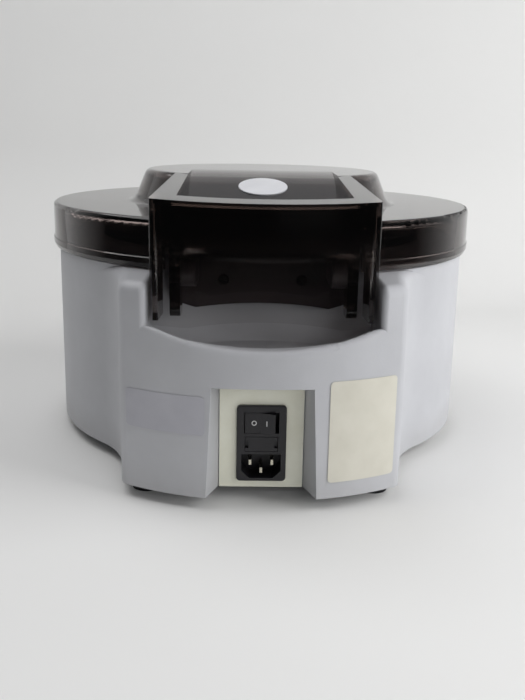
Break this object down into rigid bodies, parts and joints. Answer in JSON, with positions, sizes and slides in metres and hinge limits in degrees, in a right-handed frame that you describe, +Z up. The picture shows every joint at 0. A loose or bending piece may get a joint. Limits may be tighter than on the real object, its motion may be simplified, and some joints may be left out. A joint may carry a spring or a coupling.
{
  "type": "benchtop centrifuge",
  "caption": "Round benchtop centrifuge with a hinged smoked lid, an angle rotor and a rear mains inlet.",
  "frame": {"origin": "on the floor under the middle of the whole footprint; the drum's axis stands 18.4 mm in front of it", "axes": "+Z up, +Y to the rear where the hump and the mains inlet are, +X to the right seen from the front"},
  "size_m": [0.3234, 0.3832, 0.1974],
  "materials": {
    "housing_plastic": "fine-textured light grey moulding",
    "smoked_plastic": "glossy smoked bronze",
    "dark_plastic": "dark moulded",
    "badge_white": "glossy bare badge",
    "label_grey": "satin bare label",
    "label_ivory": "satin bare label",
    "panel_metal": "satin cream",
    "bare_steel": "spun and pressed",
    "screw_steel": "zinc plated",
    "cast_aluminium": "turned",
    "motor_paint": "painted casing",
    "black_rubber": "soft",
    "brass_pin": "plated",
    "fuse_glass": "clear",
    "keypad_film": "matt film",
    "display_glass": "dark window",
    "display_parts": "display module",
    "green_key": "matt",
    "red_key": "matt",
    "grey_key": "matt",
    "circuit_board": "lacquered laminate",
    "bush_plastic": "natural nylon"
  },
  "bodies": {
    "base": {"base_pan": "bare_steel", "block_screws": "screw_steel", "board_spacers": "bush_plastic", "bowl": "bare_steel", "control_board": "circuit_board", "data_label": "label_ivory", "display_module": "display_parts", "display_window": "display_glass", "feet": "black_rubber", "foot_screws": "screw_steel", "hinge_block": "dark_plastic", "hinge_pins": "bare_steel", "housing": "housing_plastic", "inlet": "dark_plastic", "inlet_panel": "panel_metal", "inlet_pins": "brass_pin", "keypad_panel": "keypad_film", "latch_frame": "bare_steel", "latch_solenoid": "motor_paint", "lid_seal": "black_rubber", "lid_switch": "dark_plastic", "mark_label": "label_grey", "motor_bearings": "bare_steel", "motor_boot": "black_rubber", "motor_case": "motor_paint", "motor_mounts": "black_rubber", "motor_plate": "bare_steel", "motor_screws": "screw_steel", "pan_screws": "screw_steel", "power_board": "circuit_board", "speed_sensor": "dark_plastic"},
    "lid_body": {"lid": "smoked_plastic", "hinge_bushes": "bush_plastic", "badge": "badge_white", "striker": "bare_steel", "striker_screws": "screw_steel"},
    "rotor_body": {"drive_shaft": "bare_steel", "rotor": "cast_aluminium", "tube_sleeve_1": "bare_steel", "tube_sleeve_2": "bare_steel", "tube_sleeve_3": "bare_steel", "tube_sleeve_4": "bare_steel", "tube_sleeve_5": "bare_steel", "tube_sleeve_6": "bare_steel", "tube_sleeve_7": "bare_steel", "tube_sleeve_8": "bare_steel", "sleeve_cushions": "black_rubber"},
    "knob_body": {"rotor_knob": "dark_plastic"},
    "bolt_body": {"latch_bolt": "bare_steel"},
    "rocker_body": {"rocker": "dark_plastic"},
    "drawer_body": {"fuse_drawer": "dark_plastic", "fuses": "fuse_glass"},
    "start_key_body": {"start_key": "green_key"},
    "stop_key_body": {"stop_key": "red_key"},
    "down_key_body": {"down_key": "grey_key"},
    "up_key_body": {"up_key": "grey_key"},
    "lid_release_key_body": {"lid_release_key": "grey_key"}
  },
  "joints": [
    {"name": "lid_hinge", "type": "hinge", "parent": "base", "child": "lid_body", "pos_m": [0, 0.1496, 0.143], "axis": [-1, 0, 0], "range_deg": [0, 80]},
    {"name": "rotor_spin", "type": "hinge", "parent": "base", "child": "rotor_body", "pos_m": [0, -0.0184, 0.09], "axis": [0, 0, 1], "continuous": true},
    {"name": "knob_turn", "type": "hinge", "parent": "rotor_body", "child": "knob_body", "pos_m": [0, -0.0184, 0.12], "axis": [0, 0, 1], "continuous": true},
    {"name": "bolt_slide", "type": "slide", "parent": "base", "child": "bolt_body", "axis": [-1, 0, 0], "range_m": [0, 0.007], "stiffness_N_per_m": 200},
    {"name": "mains_rocker", "type": "hinge", "parent": "base", "child": "rocker_body", "pos_m": [0, 0.1676, 0.05165], "axis": [0, 0, 1], "range_deg": [0, 20]},
    {"name": "fuse_slide", "type": "slide", "parent": "base", "child": "drawer_body", "axis": [0, 1, 0], "range_m": [0, 0.02]},
    {"name": "start_key_press", "type": "slide", "parent": "base", "child": "start_key_body", "axis": [0, 1, 0], "range_m": [0, 0.0008], "stiffness_N_per_m": 600},
    {"name": "stop_key_press", "type": "slide", "parent": "base", "child": "stop_key_body", "axis": [0, 1, 0], "range_m": [0, 0.0008], "stiffness_N_per_m": 600},
    {"name": "down_key_press", "type": "slide", "parent": "base", "child": "down_key_body", "axis": [0, 1, 0], "range_m": [0, 0.0008], "stiffness_N_per_m": 600},
    {"name": "up_key_press", "type": "slide", "parent": "base", "child": "up_key_body", "axis": [0, 1, 0], "range_m": [0, 0.0008], "stiffness_N_per_m": 600},
    {"name": "lid_release_key_press", "type": "slide", "parent": "base", "child": "lid_release_key_body", "axis": [0, 1, 0], "range_m": [0, 0.0008], "stiffness_N_per_m": 600}
  ]
}
